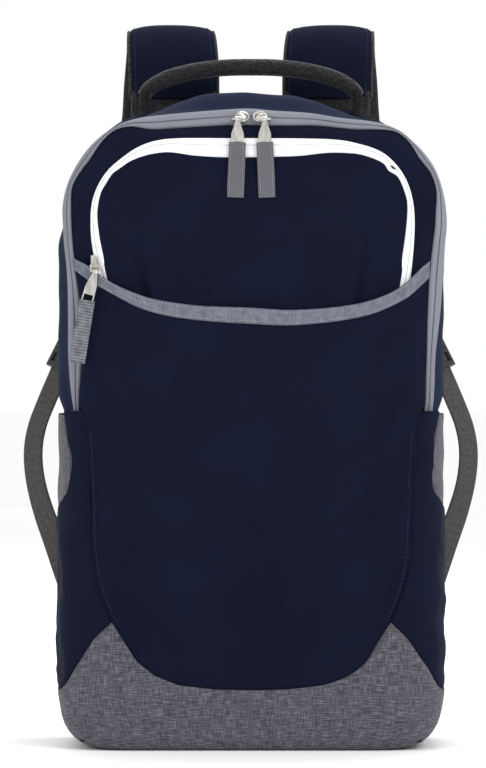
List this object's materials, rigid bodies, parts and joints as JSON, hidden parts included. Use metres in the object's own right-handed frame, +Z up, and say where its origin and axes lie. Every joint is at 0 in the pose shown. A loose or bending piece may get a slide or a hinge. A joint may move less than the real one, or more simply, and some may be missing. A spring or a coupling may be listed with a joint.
{
  "type": "school backpack",
  "caption": "Upright zip-around school backpack with fold-down front, slip pocket, zipped upper pocket, side pockets, padded straps and grab handle.",
  "frame": {"origin": "centre of the flat base face, under the middle of the bag", "axes": "+Z up, the front faces -Y, +X to the right seen from the front"},
  "size_m": [0.3512, 0.2272, 0.5465],
  "materials": {
    "black_acetal": "moulded, fine texture",
    "black_air_mesh": "3-D spacer mesh, matt",
    "black_lining": "plain lining cloth",
    "black_webbing": "woven tape",
    "grey_coil": "nylon coil",
    "grey_grosgrain": "ribbed grosgrain",
    "grey_ribbon": "folded satin ribbon",
    "grey_webbing": "twill webbing",
    "heather_polyester": "two-tone melange weave, matt",
    "navy_polyester": "plain woven polyester, matt with a faint sheen",
    "nickel_metal": "plated die casting",
    "white_tape": "woven zip tape"
  },
  "bodies": {
    "bag": {"back_pad_left": "black_air_mesh", "back_pad_lower": "black_air_mesh", "back_pad_right": "black_air_mesh", "back_panel": "black_air_mesh", "base_panel": "heather_polyester", "bottom_panel": "black_lining", "front_lower_panel": "navy_polyester", "handle_tab_left": "black_webbing", "handle_tab_right": "black_webbing", "main_zip_coil_body": "grey_coil", "main_zip_stop_left": "grey_grosgrain", "main_zip_stop_right": "grey_grosgrain", "main_zip_tape_body": "grey_grosgrain", "side_panel_left": "navy_polyester", "side_panel_right": "navy_polyester", "side_pocket_front_left": "navy_polyester", "side_pocket_front_right": "navy_polyester", "side_pocket_left": "heather_polyester", "side_pocket_right": "heather_polyester", "slip_pocket_lower": "navy_polyester", "strap_yoke_left": "navy_polyester", "strap_yoke_right": "navy_polyester", "top_panel": "navy_polyester", "webbing_anchor_left": "black_webbing", "webbing_anchor_right": "black_webbing"},
    "flap": {"flap_lining": "black_lining", "flap_frame": "navy_polyester", "flap_edge_wall": "navy_polyester", "slip_pocket_upper": "navy_polyester", "slip_pocket_binding": "grey_grosgrain", "pocket_zip_tape_outer": "white_tape", "main_zip_tape_flap": "grey_grosgrain", "main_zip_coil_flap": "grey_coil"},
    "pocket_front": {"upper_pocket_panel": "navy_polyester", "pocket_zip_tape_inner": "white_tape"},
    "main_slider_left": {"main_slider_left": "nickel_metal"},
    "main_slider_right": {"main_slider_right": "nickel_metal"},
    "main_pull_left": {"main_pull_left": "nickel_metal"},
    "main_pull_right": {"main_pull_right": "nickel_metal"},
    "main_pull_ribbon_left": {"main_pull_ribbon_left": "grey_ribbon"},
    "main_pull_ribbon_right": {"main_pull_ribbon_right": "grey_ribbon"},
    "pocket_slider": {"pocket_slider": "nickel_metal"},
    "pocket_pull": {"pocket_pull": "nickel_metal"},
    "pocket_pull_ribbon": {"pocket_pull_ribbon": "grey_grosgrain"},
    "grab_handle": {"grab_handle": "black_air_mesh"},
    "strap_left": {"strap_pad_left": "navy_polyester", "strap_mesh_left": "black_air_mesh", "strap_webbing_left": "grey_webbing", "strap_buckle_tab_left": "black_webbing", "ladder_lock_left": "black_acetal"},
    "strap_right": {"strap_pad_right": "navy_polyester", "strap_mesh_right": "black_air_mesh", "strap_webbing_right": "grey_webbing", "strap_buckle_tab_right": "black_webbing", "ladder_lock_right": "black_acetal"}
  },
  "joints": [
    {"name": "main_flap_fold", "type": "hinge", "parent": "bag", "child": "flap", "pos_m": [0, -0.081, 0.25], "axis": [1, 0, 0], "range_deg": [0, 100]},
    {"name": "pocket_front_drop", "type": "slide", "parent": "flap", "child": "pocket_front", "axis": [0, 0, -1], "range_m": [0, 0.058]},
    {"name": "main_slider_left_travel", "type": "slide", "parent": "flap", "child": "main_slider_left", "axis": [-1, 0, 0], "range_m": [0, 0.052]},
    {"name": "main_slider_right_travel", "type": "slide", "parent": "flap", "child": "main_slider_right", "axis": [1, 0, 0], "range_m": [0, 0.052]},
    {"name": "main_pull_left_swing", "type": "hinge", "parent": "main_slider_left", "child": "main_pull_left", "pos_m": [-0.01, -0.077, 0.4635], "axis": [-1, 0, 0], "range_deg": [0, 150]},
    {"name": "main_pull_right_swing", "type": "hinge", "parent": "main_slider_right", "child": "main_pull_right", "pos_m": [0.01, -0.077, 0.4635], "axis": [-1, 0, 0], "range_deg": [0, 150]},
    {"name": "main_ribbon_left_swing", "type": "hinge", "parent": "main_pull_left", "child": "main_pull_ribbon_left", "pos_m": [-0.01, -0.077, 0.4407], "axis": [-1, 0, 0], "range_deg": [0, 50]},
    {"name": "main_ribbon_right_swing", "type": "hinge", "parent": "main_pull_right", "child": "main_pull_ribbon_right", "pos_m": [0.01, -0.077, 0.4407], "axis": [-1, 0, 0], "range_deg": [0, 50]},
    {"name": "pocket_slider_travel", "type": "slide", "parent": "flap", "child": "pocket_slider", "axis": [0, 0, 1], "range_m": [0, 0.036]},
    {"name": "pocket_pull_swing", "type": "hinge", "parent": "pocket_slider", "child": "pocket_pull", "pos_m": [-0.1142, -0.0808, 0.3515], "axis": [-0.9613, 0, 0.2756], "range_deg": [0, 120]},
    {"name": "pocket_ribbon_swing", "type": "hinge", "parent": "pocket_pull", "child": "pocket_pull_ribbon", "pos_m": [-0.12076, -0.0808, 0.32862], "axis": [-0.9613, 0, 0.2756], "range_deg": [0, 50]},
    {"name": "grab_handle_swing", "type": "hinge", "parent": "bag", "child": "grab_handle", "pos_m": [0, 0.06, 0.486], "axis": [1, 0, 0], "range_deg": [0, 60]},
    {"name": "strap_left_swing", "type": "hinge", "parent": "bag", "child": "strap_left", "pos_m": [-0.059, 0.092, 0.487], "axis": [-0.1424, -0.0142, -0.9897], "range_deg": [-5, 25]},
    {"name": "strap_right_swing", "type": "hinge", "parent": "bag", "child": "strap_right", "pos_m": [0.059, 0.092, 0.487], "axis": [-0.1424, 0.0142, 0.9897], "range_deg": [-5, 25]}
  ]
}
